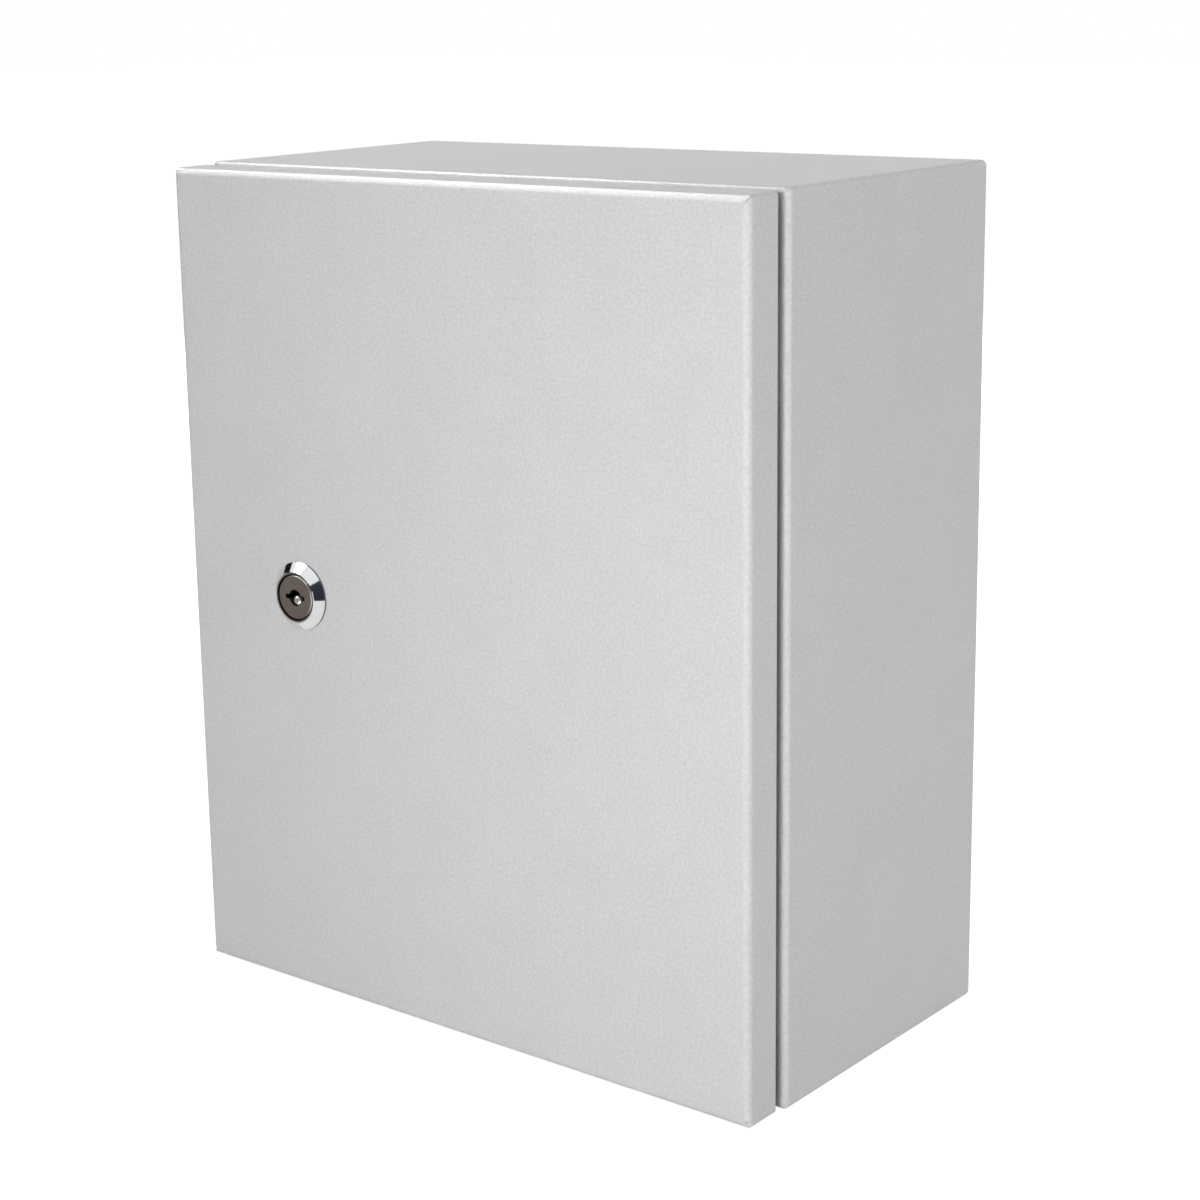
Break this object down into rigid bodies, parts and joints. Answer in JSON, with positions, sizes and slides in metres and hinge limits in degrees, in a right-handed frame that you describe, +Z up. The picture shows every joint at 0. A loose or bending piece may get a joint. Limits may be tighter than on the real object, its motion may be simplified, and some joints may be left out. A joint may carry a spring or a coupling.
{
  "type": "steel wall enclosure",
  "caption": "Steel wall enclosure: a folded body with a raised rim lip, a hinged door with a foamed seal and a quarter-turn cam lock, and a mounting plate inside.",
  "frame": {"origin": "centre of the four wall-fixing holes, on the outer face of the back", "axes": "+X to the right seen from the front, +Y into the wall, +Z up; the door faces -Y"},
  "size_m": [0.25, 0.1432, 0.3],
  "materials": {
    "powder_coat": "fine orange-peel light grey powder coat, semi-matt",
    "zinc_plate": "bright zinc plate",
    "copper_coated_stud": "copper-flashed weld stud",
    "plain_steel": "zinc-plated fastener, satin",
    "polished_chrome": "polished chrome plate",
    "dull_nickel": "dull brown-grey nickel with a bright edge",
    "black_rubber": "matt",
    "foamed_seal": "foamed in place, fine skin"
  },
  "bodies": {
    "enclosure": {"body_shell": "powder_coat", "plate_studs": "copper_coated_stud", "plate_spacers": "zinc_plate", "mounting_plate": "zinc_plate", "plate_washers": "plain_steel", "plate_nuts": "plain_steel", "gland_gasket": "black_rubber", "gland_plate": "powder_coat", "gland_studs": "copper_coated_stud", "gland_nuts": "plain_steel", "body_earth_stud": "copper_coated_stud", "body_earth_washers": "zinc_plate", "body_earth_nut": "zinc_plate", "hinge_bracket_upper": "zinc_plate", "hinge_bracket_lower": "zinc_plate", "hinge_pin_upper": "plain_steel", "hinge_pin_lower": "plain_steel"},
    "door": {"door_panel": "powder_coat", "door_seal": "foamed_seal", "hinge_leaf_upper": "zinc_plate", "hinge_leaf_lower": "zinc_plate", "lock_housing": "polished_chrome", "lock_seal": "black_rubber", "lock_washer": "zinc_plate", "lock_nut": "zinc_plate", "door_earth_stud": "copper_coated_stud", "door_earth_washers": "zinc_plate", "door_earth_nut": "zinc_plate"},
    "lock_barrel": {"lock_plug": "dull_nickel", "guide_pin": "polished_chrome", "stop_disc": "zinc_plate", "latch_cam": "zinc_plate", "cam_washer": "zinc_plate", "cam_screw": "plain_steel"}
  },
  "joints": [
    {"name": "door_hinge", "type": "hinge", "parent": "enclosure", "child": "door", "pos_m": [0.12, -0.1283, 0], "axis": [0, 0, 1], "range_deg": [0, 120]},
    {"name": "lock_turn", "type": "hinge", "parent": "door", "child": "lock_barrel", "pos_m": [-0.0685, -0.13, 0], "axis": [0, 1, 0], "range_deg": [0, 90]}
  ]
}
